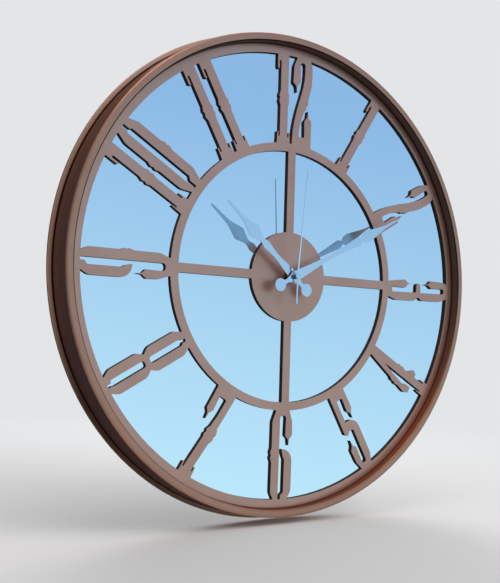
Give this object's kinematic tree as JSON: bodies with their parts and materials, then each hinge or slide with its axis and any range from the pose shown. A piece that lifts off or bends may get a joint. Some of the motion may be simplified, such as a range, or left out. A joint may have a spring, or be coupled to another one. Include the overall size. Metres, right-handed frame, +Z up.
{
  "type": "mirror wall clock",
  "caption": "Round wall clock: deep copper frame, numeral plate cut out over a full mirror disc, silver leaf hands and a battery quartz movement behind.",
  "frame": {"origin": "hand axis at the wall plane, level with the back of the frame's flange", "axes": "front faces -Y, +X to the viewer's right, +Z up the dial towards twelve"},
  "size_m": [0.5, 0.0513, 0.5],
  "materials": {
    "copper_frame": "moulded, satin copper paint",
    "copper_dial": "laser-cut fibreboard, satin copper paint, dark cut edges",
    "mirror": "silvered float glass",
    "hardboard": "brown hardboard",
    "zinc_steel": "zinc-plated sheet",
    "movement_plastic": "moulded, fine texture",
    "brass": "turned",
    "rubber": "matt sheet",
    "gear_plastic": "moulded acetal",
    "magnet": "sintered",
    "motor_steel": "stamped",
    "bobbin_plastic": "moulded",
    "copper_wire": "enamelled wire",
    "circuit": "solder mask",
    "epoxy": "cast",
    "crystal_can": "drawn can",
    "cell_jacket": "printed steel can",
    "knob_plastic": "moulded",
    "hand_metal": "stamped, silver lacquer"
  },
  "bodies": {
    "clock_body": {"frame_ring": "copper_frame", "dial_plate": "copper_dial", "mirror_glass": "mirror", "back_board": "hardboard", "retaining_points": "zinc_steel", "hanger_plate": "zinc_steel", "hanger_rivets": "zinc_steel", "positive_contact": "zinc_steel", "negative_contact": "zinc_steel", "movement_case": "movement_plastic", "movement_cover": "movement_plastic", "threaded_bush": "brass", "bush_washer": "brass", "bush_nut": "brass", "rubber_gasket": "rubber", "train_plate": "gear_plastic", "stator": "motor_steel", "coil_core": "motor_steel", "coil_bobbin": "bobbin_plastic", "coil_winding": "copper_wire", "circuit_board": "circuit", "chip_cap": "epoxy", "crystal": "crystal_can", "battery": "cell_jacket"},
    "minute_work": {"minute_hand": "hand_metal", "minute_nut": "hand_metal", "cannon_pinion": "brass"},
    "hour_work": {"hour_hand": "hand_metal", "hour_wheel": "gear_plastic"},
    "motion_work": {"motion_wheel": "gear_plastic"},
    "knob": {"setting_knob": "knob_plastic"},
    "second_work": {"second_hand": "hand_metal", "second_tube": "hand_metal", "second_cap": "hand_metal", "second_wheel": "gear_plastic"},
    "third_work": {"third_wheel": "gear_plastic"},
    "centre_work": {"centre_wheel": "gear_plastic"},
    "fifth_work": {"fifth_wheel": "gear_plastic"},
    "rotor": {"rotor_pinion": "gear_plastic", "rotor_magnet": "magnet"}
  },
  "joints": [
    {"name": "minute_turn", "type": "hinge", "parent": "clock_body", "child": "minute_work", "pos_m": [0, -0.0125, 0], "axis": [0, 1, 0], "continuous": true},
    {"name": "hour_turn", "type": "hinge", "parent": "clock_body", "child": "hour_work", "pos_m": [0, -0.0125, 0], "axis": [0, 1, 0], "continuous": true},
    {"name": "motion_turn", "type": "hinge", "parent": "clock_body", "child": "motion_work", "pos_m": [0.00311, -0.0125, 0.01159], "axis": [0, 1, 0], "continuous": true},
    {"name": "knob_turn", "type": "hinge", "parent": "clock_body", "child": "knob", "pos_m": [0.01438, -0.0125, 0.0157], "axis": [0, 1, 0], "continuous": true},
    {"name": "second_turn", "type": "hinge", "parent": "clock_body", "child": "second_work", "pos_m": [0, -0.0125, 0], "axis": [0, 1, 0], "continuous": true},
    {"name": "third_turn", "type": "hinge", "parent": "clock_body", "child": "third_work", "pos_m": [0.01208, -0.0125, 0.0017], "axis": [0, 1, 0], "continuous": true},
    {"name": "centre_turn", "type": "hinge", "parent": "clock_body", "child": "centre_work", "pos_m": [0, -0.0125, 0], "axis": [0, 1, 0], "continuous": true},
    {"name": "fifth_turn", "type": "hinge", "parent": "clock_body", "child": "fifth_work", "pos_m": [-0.00831, -0.0125, 0.0048], "axis": [0, 1, 0], "continuous": true},
    {"name": "rotor_turn", "type": "hinge", "parent": "clock_body", "child": "rotor", "pos_m": [-0.01251, -0.0125, 0.01207], "axis": [0, 1, 0], "continuous": true}
  ],
  "couplings": [
    {"joint": "hour_turn", "follows": "minute_turn", "ratio": 0.083333},
    {"joint": "motion_turn", "follows": "minute_turn", "ratio": -0.33333},
    {"joint": "knob_turn", "follows": "minute_turn", "ratio": 1},
    {"joint": "third_turn", "follows": "second_turn", "ratio": -0.13333},
    {"joint": "centre_turn", "follows": "second_turn", "ratio": 0.016667},
    {"joint": "fifth_turn", "follows": "second_turn", "ratio": -5},
    {"joint": "rotor_turn", "follows": "second_turn", "ratio": 30}
  ]
}
